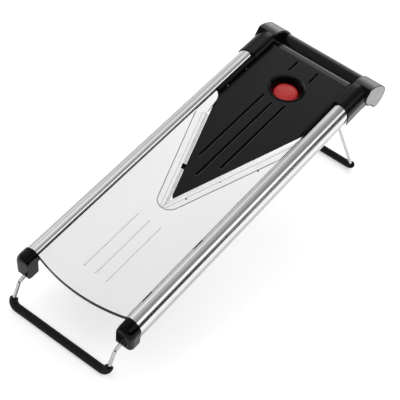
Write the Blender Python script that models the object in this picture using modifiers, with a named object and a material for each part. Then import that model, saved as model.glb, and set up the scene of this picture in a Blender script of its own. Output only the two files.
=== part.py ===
"""V-blade mandoline slicer on two folding wire feet, as separate pieces, in metres, +Z up.

Most sizes are given in the deck's frame: X to the right, Y from the front ends of the rails
towards the handle, Z square to the landing plate, whose top is Z = 0. The feed plate and what
it carries have a frame of their own, whose origin is just behind the point of the blades' V.
"""

import math

import bmesh
import bpy
from mathutils import Matrix, Vector

GAP = 0.0003

# Rails: a rolled sheet with a quarter-round shoulder
RAIL_INNER_X = 0.0482
RAIL_TOP_Z = 0.0026
RAIL_LENGTH = 0.3400
RAIL_SHEET = 0.0010
RAIL_INNER_RADIUS = 0.0050
RAIL_INNER_FOOT_Z = -0.0090
SHOULDER_RADIUS = 0.0105
SHOULDER_CENTRE_X = 0.0536
SHOULDER_END_DEGREES = -4
RAIL_HEM_X = 0.0634
RAIL_HEM_RADIUS = 0.0015
RAIL_BOTTOM_Z = -0.0175

# Landing plate
PLATE_HALF_WIDTH = RAIL_INNER_X - GAP
PLATE_THICKNESS = 0.0012
FRONT_BULGE = 0.0075
LIP_HEIGHT = 0.0045
LANDING_RIB_X = 0.0124
LANDING_RIB_START_Y = 0.0178
LANDING_RIB_END_Y = 0.0890
LANDING_RIB_WIDTH = 0.0022
LANDING_RIB_HEIGHT = 0.0005
LANDING_HOLE = (0.0403, 0.1965)
LANDING_HOLE_DEPTH = 0.0009

# Blades and their holder
V_POINT_Y = 0.1184
CUT_ANGLE = math.radians(18.9)
SEAM_ANGLE = math.radians(19.5)
SEAM_RADIUS = 0.0109
SEAM_CENTRE_Y = 0.1184
HOLDER_THICKNESS = 0.0022
HOLDER_LIP = 0.0012
SEAT_WIDTH = 0.0057
SEAT_DEPTH = 0.0012
SEAT_POINT_RADIUS = 0.0099
BLADE_WIDTH = 0.0054
BLADE_THICKNESS = 0.0009
BEVEL_WIDTH = 0.0028
LEFT_BLADE_LENGTH = 0.1095
RIVET_RADIUS = 0.0008
RIVET_DISTANCES = (0.035, 0.085)
RIVET_OFFSET = 0.0041
RIVET_COVER = 0.0003
LOCATING_HOLES = ((0.0103, 0.1287), (0.0217, 0.1638))
LOCATING_HOLE_RADIUS = 0.0009
LOCATING_HOLE_DEPTH = 0.0017
NOTCH_START = 0.0382
NOTCH_LENGTH = 0.0062
NOTCH_WIDTH = 0.0030
NOTCH_DEPTH = 0.0018

# Feed plate, in its own frame: X, V along the plate, W square to it
FEED_ORIGIN_Y = 0.1194
FEED_DROP = 0.0005
FEED_SLOPE = math.radians(0.9)
FEED_HALF_WIDTH = 0.0443
FEED_LENGTH = 0.2219
FEED_THICKNESS = 0.0032
FEED_POINT_RADIUS = 0.0022
FEED_EDGE_GAP = 0.0003
GROOVE_X = 0.0121
GROOVE_WIDTH = 0.0024
GROOVE_DEPTH = 0.0016
TRUNNION_DISTANCES = (0.1456, 0.1756)
TRUNNION_RADIUS = 0.00125
SLIDE_ANGLE = math.radians(40)
SLIDE_TRAVEL = 0.0070

# Push button, its collar and the lock under the feed plate
BUTTON_V = 0.1811
BUTTON_RADIUS = 0.0124
BUTTON_TRAVEL = 0.0020
STEM_RADIUS = 0.0034
COLLAR_RADIUS = 0.0181
COLLAR_WELL_RADIUS = 0.0163
COLLAR_FLOOR_W = -0.0101
SPRING_RADIUS = 0.0065
SPRING_WIRE_RADIUS = 0.0003
SPRING_TURNS = 3
LOCK_BAR_TOP_W = -0.0114
LOCK_BAR_THICKNESS = 0.0020
HOUSING_HALF_WIDTH = 0.0205
HOUSING_HALF_LENGTH = 0.0300
HOUSING_WALL = 0.0015
HOUSING_FLOOR = 0.0009
HOUSING_BOTTOM_W = -0.0146
BOSS_X = 0.0220
BOSS_V = BUTTON_V + 0.0135
BOSS_RADIUS = 0.0030

# Guides between the rails and the feed plate
GUIDE_INNER_X = FEED_HALF_WIDTH + GAP
GUIDE_TOP_Z = 0.0012
GUIDE_BOTTOM_Z = -0.0135
GUIDE_LEFT_START_Y = 0.2525
GUIDE_RIGHT_START_Y = 0.2605
GUIDE_END_Y = 0.3109

# Cross ties under the landing plate
TIE_TOP_Z = -PLATE_THICKNESS - GAP
TIE_THICKNESS = 0.0030
TIE_WIDTH = 0.0120
TIE_CENTRES_Y = {"front_tie": 0.028, "middle_tie": 0.098}
TIE_FLANGE_DEPTH = 0.0075
TIE_RIVET_Z = -0.0058

# Front caps
CAP_LENGTH = 0.0132
CAP_BOTTOM_Z = -0.0240
CAP_ROUNDING = 0.0062
CAP_PIVOT_Z = -0.0110
PLUG_LENGTH = 0.0120
PIN_RADIUS = 0.0012
CAP_PIN_Y = 0.0060
PIN_Z = -0.0055

# Wire feet: the pivots and the centre lines of the bars that stand on the surface
WIRE_RADIUS = 0.00175
SLEEVE_RADIUS = 0.0039
FOOT_ARM_X = 0.0530
FOOT_JOURNAL_X = 0.0600
BORE_RADIUS = WIRE_RADIUS + 0.0004
FRONT_PIVOT = (-0.0040, -0.0190)
FRONT_BEND = (-0.0197, -0.0230)
FRONT_BAR = (-0.0300, -0.0450)
REAR_PIVOT = (0.3085, -0.0125)
REAR_BAR = (0.3800, -0.1520)
FOOT_CORNER_RADIUS = 0.0060
SLEEVE_UPRIGHT = 0.0004

# Handle: sleeves that run straight over the rails, then bend down about an axis along X
SLEEVE_START_Y = 0.3112
SLEEVE_WALL = 0.0012
SLEEVE_INNER_X = 0.0472
SLEEVE_CORNER = 0.0020
LEDGE_END_Y = 0.3430
BEND_CENTRE = (0.3370, -0.0466)
BEND_RADIUS = RAIL_TOP_Z + SLEEVE_WALL - BEND_CENTRE[1]
ARM_DEPTH = RAIL_TOP_Z - RAIL_BOTTOM_Z + 2 * SLEEVE_WALL
SHOULDER_BEND_DEGREES = 28
BEND_DEGREES = 58
ARM_INNER_X = 0.0474
HANDLE_HALF_WIDTH = 0.0664
END_PROUD = 0.00015
END_TOP_DEGREES = 11
END_BOTTOM_DEGREES = 26
END_FRONT = ((0.3404, -0.0097), (0.3404, -0.0043))
END_ROUNDING = 0.0006
COVER_INSET = 0.0012
COVER_THICKNESS = 0.0014
BAR_RADIUS = 0.0106
WEB_TOP_Z = -0.0125
WEB_THICKNESS = 0.0040
WEB_FRONT_Y = 0.3330
WEB_BEND_Y = 0.3480
WEB_BEND_RADIUS = 0.0200
WEB_BEND_DEGREES = 55
HANDLE_PIN_Y = 0.3280

STANDING_TILT = math.atan2(FRONT_BAR[1] - REAR_BAR[1], REAR_BAR[0] - FRONT_BAR[0])
FEED_MATRIX = Matrix.Translation((0, FEED_ORIGIN_Y, -FEED_DROP)) @ Matrix.Rotation(-FEED_SLOPE, 4, "X")
UPRIGHT = (math.pi / 2, 0, 0)
SIDEWAYS = (math.pi / 2, 0, math.pi / 2)


# ---------------------------------------------------------------- outlines and paths


def arc(centre, radius, start, end, steps):
    """Points of a circular arc from start to end, in degrees."""
    angles = [math.radians(start + (end - start) * i / steps) for i in range(steps + 1)]
    return [(centre[0] + radius * math.cos(a), centre[1] + radius * math.sin(a)) for a in angles]


def rectangle(x_range, y_range):
    (x0, x1), (y0, y1) = x_range, y_range
    return [(x0, y0), (x1, y0), (x1, y1), (x0, y1)]


def stadium(length, radius, steps=8):
    """A slot outline along Y, centred, whose round ends have their centres length apart."""
    top = arc((0, length / 2), radius, 0, 180, steps)
    return top + arc((0, -length / 2), radius, 180, 360, steps)


def bulge(half_width, depth, steps):
    """A shallow arc from -X to +X that swells by depth towards -Y."""
    radius = (half_width**2 + depth**2) / (2 * depth)
    half_angle = math.degrees(math.asin(half_width / radius))
    return arc((0, radius - depth), radius, 270 - half_angle, 270 + half_angle, steps)


def edge_y(x, offset=0.0):
    """Y of a line parallel to the right cutting edge, offset outwards from it, at x."""
    return V_POINT_Y - offset / math.sin(CUT_ANGLE) + x / math.tan(CUT_ANGLE)


def seam(clearance, end_x, steps=14):
    """The rounded V of the seam round the blade holder, from its right end to its left end."""
    radius = SEAM_RADIUS - clearance
    slope = math.degrees(SEAM_ANGLE)
    virtual_point = SEAM_CENTRE_Y - radius / math.sin(SEAM_ANGLE)
    end_y = virtual_point + end_x / math.tan(SEAM_ANGLE)
    point = arc((0, SEAM_CENTRE_Y), radius, -slope, slope - 180, steps)
    return [(end_x, end_y)] + point + [(-end_x, end_y)]


def rail_path():
    """The outer surface of the right rail in the XZ plane, from the inner foot to the hem."""
    inner = (RAIL_INNER_X + RAIL_INNER_RADIUS, RAIL_TOP_Z - RAIL_INNER_RADIUS)
    shoulder = (SHOULDER_CENTRE_X, RAIL_TOP_Z - SHOULDER_RADIUS)
    hem = (RAIL_HEM_X - RAIL_HEM_RADIUS, RAIL_BOTTOM_Z + RAIL_HEM_RADIUS)
    path = [(RAIL_INNER_X, RAIL_INNER_FOOT_Z)]
    path += arc(inner, RAIL_INNER_RADIUS, 180, 90, 8)
    path += arc(shoulder, SHOULDER_RADIUS, 90, SHOULDER_END_DEGREES, 16)
    path += arc(hem, RAIL_HEM_RADIUS, 0, -90, 4)
    return path


def rail_section(inner_x, grow, bottom_z, corner=RAIL_INNER_RADIUS):
    """A closed outline of the rail's shape, grown outwards, down to a flat bottom."""
    radius = SHOULDER_RADIUS + grow
    top_z = RAIL_TOP_Z + grow
    outer_x = RAIL_HEM_X + grow
    outline = [(inner_x, bottom_z)]
    outline += arc((inner_x + corner, top_z - corner), corner, 180, 90, 8)
    outline += arc((SHOULDER_CENTRE_X, top_z - radius), radius, 90, SHOULDER_END_DEGREES, 16)
    outline += [(outer_x, bottom_z)]
    return outline[::-1]


def rounded_path(points, radii, steps=6):
    """A 3D route through points whose corners are arcs; radii has one value per inner point."""
    route = [Vector(points[0])]
    for before, corner, after, radius in zip(points, points[1:], points[2:], radii):
        corner = Vector(corner)
        back = (Vector(before) - corner).normalized()
        ahead = (Vector(after) - corner).normalized()
        half = back.angle(ahead) / 2
        start = corner + back * radius / math.tan(half)
        centre = corner + (back + ahead).normalized() * radius / math.sin(half)
        swing = math.pi - 2 * half
        axis = back.cross(ahead).normalized()
        for i in range(steps + 1):
            turn = Matrix.Rotation(-swing * i / steps, 3, axis)
            route.append(centre + turn @ (start - centre))
    route.append(Vector(points[-1]))
    return route


# ---------------------------------------------------------------- scene, placing, tools


def clear_scene():
    for obj in list(bpy.data.objects):
        bpy.data.objects.remove(obj)


def new_collection(name):
    collection = bpy.data.collections.new(name)
    bpy.context.scene.collection.children.link(collection)
    return collection


def new_empty(name, collection, parent=None, matrix=None):
    empty = bpy.data.objects.new(name, None)
    empty.empty_display_size = 0.03
    collection.objects.link(empty)
    empty.parent = parent
    if matrix is not None:
        empty.matrix_local = matrix
    return empty


def material(name, color, roughness, metallic=0.0):
    made = bpy.data.materials.new(name)
    made.use_nodes = True
    shader = made.node_tree.nodes["Principled BSDF"]
    shader.inputs["Base Color"].default_value = (*color, 1.0)
    shader.inputs["Roughness"].default_value = roughness
    shader.inputs["Metallic"].default_value = metallic
    made.diffuse_color = (*color, 1.0)
    return made


def smooth(mesh, angle=35):
    mesh.shade_smooth()
    mesh.set_sharp_from_angle(angle=math.radians(angle))


def mesh_from_curve(name, curve):
    """Turns a curve into a closed mesh, because Boolean and Bevel need one."""
    holder = bpy.data.objects.new(name, curve)
    bpy.context.scene.collection.objects.link(holder)
    graph = bpy.context.evaluated_depsgraph_get()
    mesh = bpy.data.meshes.new_from_object(holder.evaluated_get(graph))
    bpy.data.objects.remove(holder)
    bpy.data.curves.remove(curve)
    bm = bmesh.new()
    bm.from_mesh(mesh)
    bmesh.ops.remove_doubles(bm, verts=bm.verts, dist=1e-6)
    bmesh.ops.recalc_face_normals(bm, faces=bm.faces)
    bm.to_mesh(mesh)
    bm.free()
    mesh.name = name
    return bpy.data.objects.new(name, mesh)


def flat_curve(points, closed):
    curve = bpy.data.curves.new("outline", "CURVE")
    curve.dimensions = "2D"
    spline = curve.splines.new("POLY")
    spline.points.add(len(points) - 1)
    for spline_point, (x, y) in zip(spline.points, points):
        spline_point.co = (x, y, 0, 1)
    spline.use_cyclic_u = closed
    return curve


def prism(name, points, thickness):
    """A closed outline given its thickness along local Z, half of it each way."""
    curve = flat_curve(points, closed=True)
    curve.fill_mode = "BOTH"
    curve.extrude = thickness / 2
    return mesh_from_curve(name, curve)


def slab(name, points, low, high):
    """A prism whose flat faces are at local Z = low and high."""
    obj = prism(name, points, high - low)
    obj.data.transform(Matrix.Translation((0, 0, (low + high) / 2)))
    return obj


def box(name, x_range, y_range, z_range):
    return slab(name, rectangle(x_range, y_range), *z_range)


def ribbon(name, points, width, sheet, inwards):
    """An open outline swept along local Z and given a sheet's thickness by Solidify."""
    curve = flat_curve(points, closed=False)
    curve.extrude = width / 2
    obj = mesh_from_curve(name, curve)
    solid = obj.modifiers.new("sheet", "SOLIDIFY")
    solid.thickness = sheet
    solid.offset = -1 if inwards else 1
    solid.use_even_offset = True
    return obj


def rod(name, radius, length, segments=24):
    """A cylinder along local Z, centred."""
    mesh = bpy.data.meshes.new(name)
    bm = bmesh.new()
    bmesh.ops.create_cone(
        bm, cap_ends=True, segments=segments, radius1=radius, radius2=radius, depth=length
    )
    bm.to_mesh(mesh)
    bm.free()
    smooth(mesh)
    return bpy.data.objects.new(name, mesh)


def turned(name, profile, closed, segments=48):
    """A profile of (radius, height) points turned about local Z; it runs down its outer side."""
    mesh = bpy.data.meshes.new(name)
    count = len(profile)
    edges = [(i, i + 1) for i in range(count - 1)]
    if closed:
        edges.append((count - 1, 0))
    mesh.from_pydata([(r, 0, h) for r, h in profile], edges, [])
    obj = bpy.data.objects.new(name, mesh)
    screw = obj.modifiers.new("turn", "SCREW")
    screw.steps = segments
    screw.render_steps = segments
    screw.use_merge_vertices = True
    screw.merge_threshold = 0.00002
    screw.use_smooth_shade = True
    return obj


def tube(name, route, radius, resolution=4):
    """A round wire along a route, with flat ends."""
    curve = bpy.data.curves.new("route", "CURVE")
    curve.dimensions = "3D"
    spline = curve.splines.new("POLY")
    spline.points.add(len(route) - 1)
    for spline_point, place in zip(spline.points, route):
        spline_point.co = (*place, 1)
    curve.bevel_depth = radius
    curve.bevel_resolution = resolution
    curve.use_fill_caps = True
    obj = mesh_from_curve(name, curve)
    smooth(obj.data)
    return obj


def round_edges(obj, width, segments, chosen):
    """Rounds the edges for which chosen is true of both end points, in local coordinates."""
    bm = bmesh.new()
    bm.from_mesh(obj.data)
    bmesh.ops.dissolve_limit(bm, angle_limit=math.radians(0.5), verts=bm.verts, edges=bm.edges)
    edges = [e for e in bm.edges if chosen(*(vert.co for vert in e.verts))]
    bmesh.ops.bevel(
        bm, geom=edges, offset=width, segments=segments, profile=0.5, affect="EDGES"
    )
    bm.to_mesh(obj.data)
    bm.free()
    smooth(obj.data)
    return obj


def upright_edge(a, b):
    return abs(a.z - b.z) > 0.5 * (a - b).length


def draw_out(obj, side, steps, move):
    """Draws out the end face of a prism at local Z = side * most, in steps.

    move gives a point's new place from the one it had and the number of the step.
    """
    bm = bmesh.new()
    bm.from_mesh(obj.data)
    bmesh.ops.dissolve_limit(bm, angle_limit=math.radians(0.5), verts=bm.verts, edges=bm.edges)
    end = max(bm.faces, key=lambda face: side * face.calc_center_median().z)
    for step in range(steps):
        drawn = bmesh.ops.extrude_face_region(bm, geom=[end])["geom"]
        face = next(item for item in drawn if isinstance(item, bmesh.types.BMFace))
        bmesh.ops.delete(bm, geom=[end], context="FACES_ONLY")
        for vert in face.verts:
            vert.co = move(vert.co, step)
        end = face
    bmesh.ops.recalc_face_normals(bm, faces=bm.faces)
    bm.to_mesh(obj.data)
    bm.free()
    smooth(obj.data)


def dome_end(obj, pivot, radius, steps):
    """Rounds the +Z end of a prism: the end face is drawn out and shrunk towards pivot."""
    reach = max((Vector(pivot) - vert.co.xy).length for vert in obj.data.vertices)
    turns = [math.pi / 2 * i / steps for i in range(steps + 1)]
    sizes = [1 - radius / reach * (1 - math.cos(turn)) for turn in turns]
    rises = [radius * math.sin(turn) for turn in turns]

    def move(place, step):
        shrunk = Vector(pivot) + (place.xy - Vector(pivot)) * sizes[step + 1] / sizes[step]
        return (*shrunk, place.z + rises[step + 1] - rises[step])

    draw_out(obj, 1, steps, move)


def bend_end(obj, centre, degrees, steps):
    """Draws the -Z end of a prism on, round an axis along X through centre."""
    turn = Matrix.Rotation(-math.radians(degrees) / steps, 3, "X")
    draw_out(obj, -1, steps, lambda place, step: centre + turn @ (place - centre))


class Workshop:
    """Puts pieces and cutters in their collections, on their parents, with their materials."""

    def __init__(self):
        self.parts = new_collection("mandoline_slicer")
        self.tools = new_collection("cutters")
        self.deck = new_empty("deck_frame", self.parts, matrix=Matrix.Rotation(STANDING_TILT, 4, "X"))
        self.feed = new_empty("feed_frame", self.parts, self.deck, FEED_MATRIX)

    def place(self, obj, finish, location=(0, 0, 0), rotation=(0, 0, 0), parent=None):
        self.parts.objects.link(obj)
        obj.parent = parent or self.deck
        obj.location = location
        obj.rotation_euler = rotation
        obj.data.materials.append(finish)
        return obj

    def tool(self, target, obj, operation, location=(0, 0, 0), rotation=(0, 0, 0)):
        """Cuts obj from target, or joins it on; obj is placed in the frame of target's parent."""
        self.tools.objects.link(obj)
        obj.parent = target.parent
        obj.location = location
        obj.rotation_euler = rotation
        obj.hide_render = True
        obj.display_type = "WIRE"
        modifier = target.modifiers.new(obj.name, "BOOLEAN")
        modifier.operation = operation
        modifier.object = obj
        return obj

    def cut(self, target, obj, location=(0, 0, 0), rotation=(0, 0, 0)):
        return self.tool(target, obj, "DIFFERENCE", location, rotation)

    def join(self, target, obj, location=(0, 0, 0), rotation=(0, 0, 0)):
        return self.tool(target, obj, "UNION", location, rotation)


def finishes():
    return {
        "rail_steel": material("rail_steel", (0.62, 0.62, 0.63), 0.24, 1.0),
        "plate_steel": material("plate_steel", (0.80, 0.80, 0.81), 0.32, 1.0),
        "blade_steel": material("blade_steel", (0.74, 0.74, 0.75), 0.22, 1.0),
        "chrome_wire": material("chrome_wire", (0.75, 0.75, 0.76), 0.12, 1.0),
        "feed_plastic": material("feed_plastic", (0.035, 0.035, 0.038), 0.38),
        "gloss_black": material("gloss_black", (0.012, 0.012, 0.013), 0.15),
        "handle_black": material("handle_black", (0.016, 0.016, 0.017), 0.24),
        "cover_grey": material("cover_grey", (0.20, 0.20, 0.20), 0.35),
        "button_red": material("button_red", (0.62, 0.035, 0.03), 0.38),
        "foot_rubber": material("foot_rubber", (0.012, 0.012, 0.012), 0.75),
        "inner_plastic": material("inner_plastic", (0.05, 0.05, 0.05), 0.5),
        "spring_steel": material("spring_steel", (0.55, 0.55, 0.56), 0.3, 1.0),
    }


# ---------------------------------------------------------------- pieces


def mirrored(points, side):
    """The points as they are on the right (side = 1), and mirrored in X on the left (-1)."""
    return points if side > 0 else [(-x, y) for x, y in reversed(points)]


def side_name(side):
    return "right" if side > 0 else "left"


def make_rails(shop, finish):
    for side in (-1, 1):
        name = side_name(side) + "_rail"
        rail = ribbon(name, mirrored(rail_path(), side), RAIL_LENGTH, RAIL_SHEET, inwards=True)
        shop.place(rail, finish["rail_steel"], (0, RAIL_LENGTH / 2, 0), UPRIGHT)
        smooth(rail.data)
        holes = {"cap_pin": (CAP_PIN_Y, PIN_Z), "handle_pin": (HANDLE_PIN_Y, PIN_Z)}
        holes |= {tie: (y, TIE_RIVET_Z) for tie, y in TIE_CENTRES_Y.items()}
        for label, (y, z) in holes.items():
            hole = rod(f"{name}_{label}_hole", PIN_RADIUS + GAP, 0.006, 16)
            shop.cut(rail, hole, (side * RAIL_INNER_X, y, z), (0, math.pi / 2, 0))


def make_landing_plate(shop, finish):
    outline = bulge(PLATE_HALF_WIDTH, FRONT_BULGE, 24) + seam(0, PLATE_HALF_WIDTH)
    plate = slab("landing_plate", outline, -PLATE_THICKNESS, 0)
    shop.place(plate, finish["plate_steel"])
    front = bulge(PLATE_HALF_WIDTH, FRONT_BULGE, 24)
    back = [(x, y + PLATE_THICKNESS) for x, y in reversed(front)]
    shop.join(plate, slab("landing_lip", front + back, -LIP_HEIGHT, -PLATE_THICKNESS / 2))
    rib_length = LANDING_RIB_END_Y - LANDING_RIB_START_Y
    for number, x in enumerate((-LANDING_RIB_X, 0, LANDING_RIB_X), 1):
        rib = slab(
            f"landing_rib_{number}",
            stadium(rib_length, LANDING_RIB_WIDTH / 2, 6),
            -PLATE_THICKNESS / 2,
            LANDING_RIB_HEIGHT,
        )
        round_edges(rib, LANDING_RIB_HEIGHT * 0.8, 2, lambda a, b: min(a.z, b.z) > 0)
        shop.join(plate, rib, (x, LANDING_RIB_START_Y + rib_length / 2, 0))
    hole = rod("landing_hole", LOCATING_HOLE_RADIUS, 0.0040, 16)
    shop.cut(plate, hole, (*LANDING_HOLE, 0.0020 - LANDING_HOLE_DEPTH))


def along_edge(side, distance, offset):
    """The point that far along a cutting edge from the V's point, and that far outside it."""
    x = distance * math.sin(CUT_ANGLE) + offset * math.cos(CUT_ANGLE)
    y = V_POINT_Y + distance * math.cos(CUT_ANGLE) - offset * math.sin(CUT_ANGLE)
    return (side * x, y)


def make_blade_holder(shop, finish):
    end_x = PLATE_HALF_WIDTH - 0.0004
    inner_point = (0, edge_y(0, HOLDER_LIP))
    right_end = (end_x, edge_y(end_x, HOLDER_LIP))
    blade_end = along_edge(-1, LEFT_BLADE_LENGTH + 0.0006, HOLDER_LIP)
    left_tab = [
        (-end_x, 0.2508),
        (-0.0455, 0.2500),
        (-0.0425, 0.2465),
        (-0.0405, 0.2420),
        (blade_end[0] - 0.0012, blade_end[1] + 0.0022),
        blade_end,
    ]
    outline = seam(GAP, end_x) + left_tab + [inner_point, right_end]
    holder = slab("blade_holder", outline[::-1], -HOLDER_THICKNESS, 0)
    shop.place(holder, finish["blade_steel"])
    seat_ends = {-1: LEFT_BLADE_LENGTH + GAP, 1: 0.170}
    seat = [along_edge(1, seat_ends[1], SEAT_WIDTH), along_edge(1, seat_ends[1], -0.001)]
    seat += [(0, edge_y(0, -0.001))]
    seat += [along_edge(-1, seat_ends[-1], -0.001), along_edge(-1, seat_ends[-1], SEAT_WIDTH)]
    reach = math.sqrt(SEAT_POINT_RADIUS**2 - SEAT_WIDTH**2)
    corner = along_edge(1, -reach, SEAT_WIDTH)
    slope = math.degrees(math.atan2(corner[1] - V_POINT_Y, corner[0]))
    seat += arc((0, V_POINT_Y), SEAT_POINT_RADIUS, -180 - slope, slope, 6)
    shop.cut(holder, slab("blade_seat", seat[::-1], -SEAT_DEPTH, 0.002))
    for number, place in enumerate(LOCATING_HOLES, 1):
        hole = rod(f"locating_hole_{number}", LOCATING_HOLE_RADIUS, 0.0040, 16)
        shop.cut(holder, hole, (*place, 0.0020 - LOCATING_HOLE_DEPTH))
    for number, (side, place) in enumerate(rivet_places(), 1):
        hole = rod(f"holder_rivet_hole_{number}", RIVET_RADIUS + GAP, 0.01, 16)
        shop.cut(holder, hole, (*place, 0))
    shop.cut(holder, blade_notch("holder_notch"))


def blade_notch(name):
    """The notch in the left cutting edge: it goes through the blade and into the holder."""
    end = NOTCH_START + NOTCH_LENGTH
    corners = [
        along_edge(-1, NOTCH_START, -0.001),
        along_edge(-1, end, -0.001),
        along_edge(-1, end, NOTCH_WIDTH),
        along_edge(-1, NOTCH_START, NOTCH_WIDTH),
    ]
    return slab(name, corners, -NOTCH_DEPTH, 0.004)


def rivet_places():
    return [
        (side, along_edge(side, distance, RIVET_OFFSET))
        for side in (-1, 1)
        for distance in RIVET_DISTANCES
    ]


def make_blades(shop, finish):
    """Each blade is a bevelled strip, mitred at the point of the V."""
    section = [
        (0, -BLADE_THICKNESS),
        (BLADE_WIDTH, -BLADE_THICKNESS),
        (BLADE_WIDTH, 0),
        (BEVEL_WIDTH, 0),
        (0, -BLADE_THICKNESS + 0.0004),
    ]
    overrun = 0.020
    lengths = {-1: LEFT_BLADE_LENGTH, 1: 0.155}
    for side in (-1, 1):
        name = side_name(side) + "_blade"
        length = lengths[side] + overrun
        blade = prism(name, mirrored(section, side), length)
        middle = along_edge(side, length / 2 - overrun, 0)
        turn = (math.pi / 2, 0, -side * CUT_ANGLE)
        shop.place(blade, finish["blade_steel"], (*middle, 0), turn)
        mitre_x = (-0.02, 0.00015) if side > 0 else (-0.00015, 0.02)
        shop.cut(blade, box(name + "_mitre", mitre_x, (0.08, 0.16), (-0.005, 0.005)))
        inside = slab(name + "_point", seam(SEAM_RADIUS - SEAT_POINT_RADIUS + GAP, 0.075), -0.01, 0.01)
        shop.tool(blade, inside, "INTERSECT")
        for number, (rivet_side, place) in enumerate(rivet_places(), 1):
            if rivet_side == side:
                hole = rod(f"{name}_rivet_hole_{number}", RIVET_RADIUS + GAP, 0.0040, 16)
                shop.cut(blade, hole, (*place, -RIVET_COVER - 0.0020))
        if side < 0:
            shop.cut(blade, blade_notch("blade_notch"))
        else:
            end_x = (PLATE_HALF_WIDTH - 0.0004, 0.08)
            shop.cut(blade, box("blade_end", end_x, (0.2, 0.3), (-0.005, 0.005)))
    for number, (side, place) in enumerate(rivet_places(), 1):
        top = -RIVET_COVER - GAP
        rivet = rod(f"blade_rivet_{number}", RIVET_RADIUS, HOLDER_THICKNESS + top, 16)
        shop.place(rivet, finish["spring_steel"], (*place, (top - HOLDER_THICKNESS) / 2))


def make_ties(shop, finish):
    """Flat bars under the landing plate with a turned-down flange riveted to each rail."""
    end = PLATE_HALF_WIDTH
    number = 0
    for name, y in TIE_CENTRES_Y.items():
        top, low = TIE_TOP_Z, TIE_TOP_Z - TIE_THICKNESS / 2
        foot = TIE_TOP_Z - TIE_FLANGE_DEPTH
        wall = TIE_THICKNESS / 2
        outline = [(-end, foot), (-end + wall, foot), (-end + wall, low), (end - wall, low)]
        outline += [(end - wall, foot), (end, foot), (end, top), (-end, top)]
        tie = prism(name, outline, TIE_WIDTH)
        shop.place(tie, finish["rail_steel"], (0, y, 0), UPRIGHT)
        for side in (-1, 1):
            number += 1
            hole = rod(f"{name}_hole_{side_name(side)}", PIN_RADIUS + GAP, 0.006, 16)
            shop.cut(tie, hole, (side * end, y, TIE_RIVET_Z), (0, math.pi / 2, 0))
            rivet = rod(f"tie_rivet_{number}", PIN_RADIUS, 0.0045, 16)
            place = (side * (end - 0.0002), y, TIE_RIVET_Z)
            shop.place(rivet, finish["spring_steel"], place, (0, math.pi / 2, 0))


def trunnion_points():
    """The centres of the feed plate's trunnions at the plate's right edge, in the feed frame."""
    return [Vector((FEED_HALF_WIDTH, v, -FEED_THICKNESS / 2)) for v in TRUNNION_DISTANCES]


def feed_outline():
    slope = math.degrees(CUT_ANGLE)
    v_point = V_POINT_Y - FEED_ORIGIN_Y
    point_centre = v_point + (FEED_EDGE_GAP + FEED_POINT_RADIUS) / math.sin(CUT_ANGLE)
    shoulder = v_point + FEED_EDGE_GAP / math.sin(CUT_ANGLE) + FEED_HALF_WIDTH / math.tan(CUT_ANGLE)
    outline = arc((0, point_centre), FEED_POINT_RADIUS, 180 + slope, 360 - slope, 8)
    outline += [(FEED_HALF_WIDTH, shoulder), (FEED_HALF_WIDTH, FEED_LENGTH)]
    outline += [(-FEED_HALF_WIDTH, FEED_LENGTH), (-FEED_HALF_WIDTH, shoulder)]
    return outline


def make_feed_plate(shop, finish):
    plate = slab("feed_plate", feed_outline(), -FEED_THICKNESS, 0)
    shop.place(plate, finish["feed_plastic"], parent=shop.feed)
    for side in (-1, 1):
        boss_height = -FEED_THICKNESS + 0.0005 - (HOUSING_BOTTOM_W + HOUSING_FLOOR + GAP)
        boss = rod(f"boss_{side_name(side)}", BOSS_RADIUS, boss_height)
        shop.join(plate, boss, (side * BOSS_X, BOSS_V, -FEED_THICKNESS + 0.0005 - boss_height / 2))
        pilot = rod(f"pilot_{side_name(side)}", 0.0014, 0.0060, 16)
        shop.cut(plate, pilot, (side * BOSS_X, BOSS_V, -0.0125))
        for number, centre in enumerate(trunnion_points(), 1):
            length = 0.0045
            pin = rod(f"trunnion_{side_name(side)}_{number}", TRUNNION_RADIUS, length, 16)
            place = (side * (centre.x + 0.0033 - length / 2), centre.y, centre.z)
            shop.join(plate, pin, place, (0, math.pi / 2, 0))
    grooves = [
        (-GROOVE_X, 0.0576, 0.1610, GROOVE_WIDTH),
        (0, 0.0370, 0.1560, GROOVE_WIDTH),
        (GROOVE_X, 0.0576, 0.1610, GROOVE_WIDTH),
        (-GROOVE_X, 0.2010, 0.2185, GROOVE_WIDTH),
        (0, 0.2076, 0.2190, GROOVE_WIDTH / 3),
        (GROOVE_X, 0.2010, 0.2185, GROOVE_WIDTH),
    ]
    for number, (x, start, end, width) in enumerate(grooves, 1):
        outline = stadium(end - start - width, width / 2, 6)
        groove = slab(f"groove_{number}", outline, -GROOVE_DEPTH, 0.001)
        shop.cut(plate, groove, (x, (start + end) / 2, 0))
    shop.cut(plate, rod("collar_recess", COLLAR_RADIUS + GAP, 0.0020, 48), (0, BUTTON_V, 0.0002))
    shop.cut(plate, rod("collar_hole", COLLAR_WELL_RADIUS + GAP, 0.02, 48), (0, BUTTON_V, 0))


def make_collar(shop, finish):
    well = COLLAR_WELL_RADIUS
    floor = COLLAR_FLOOR_W
    profile = [
        (0.0166, 0.0005),
        (0.0174, 0.0005),
        (COLLAR_RADIUS, 0.0001),
        (COLLAR_RADIUS, -0.0005),
        (well, -0.0005),
        (well, floor - 0.0009),
        (STEM_RADIUS + 0.0005, floor - 0.0009),
        (STEM_RADIUS + 0.0005, floor),
        (0.0130, floor),
        (0.0130, -0.0062),
        (0.0135, -0.0046),
        (0.0145, -0.0022),
        (0.0157, -0.0004),
    ]
    collar = turned("button_collar", profile, closed=True)
    shop.place(collar, finish["gloss_black"], (0, BUTTON_V, 0), parent=shop.feed)


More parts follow.
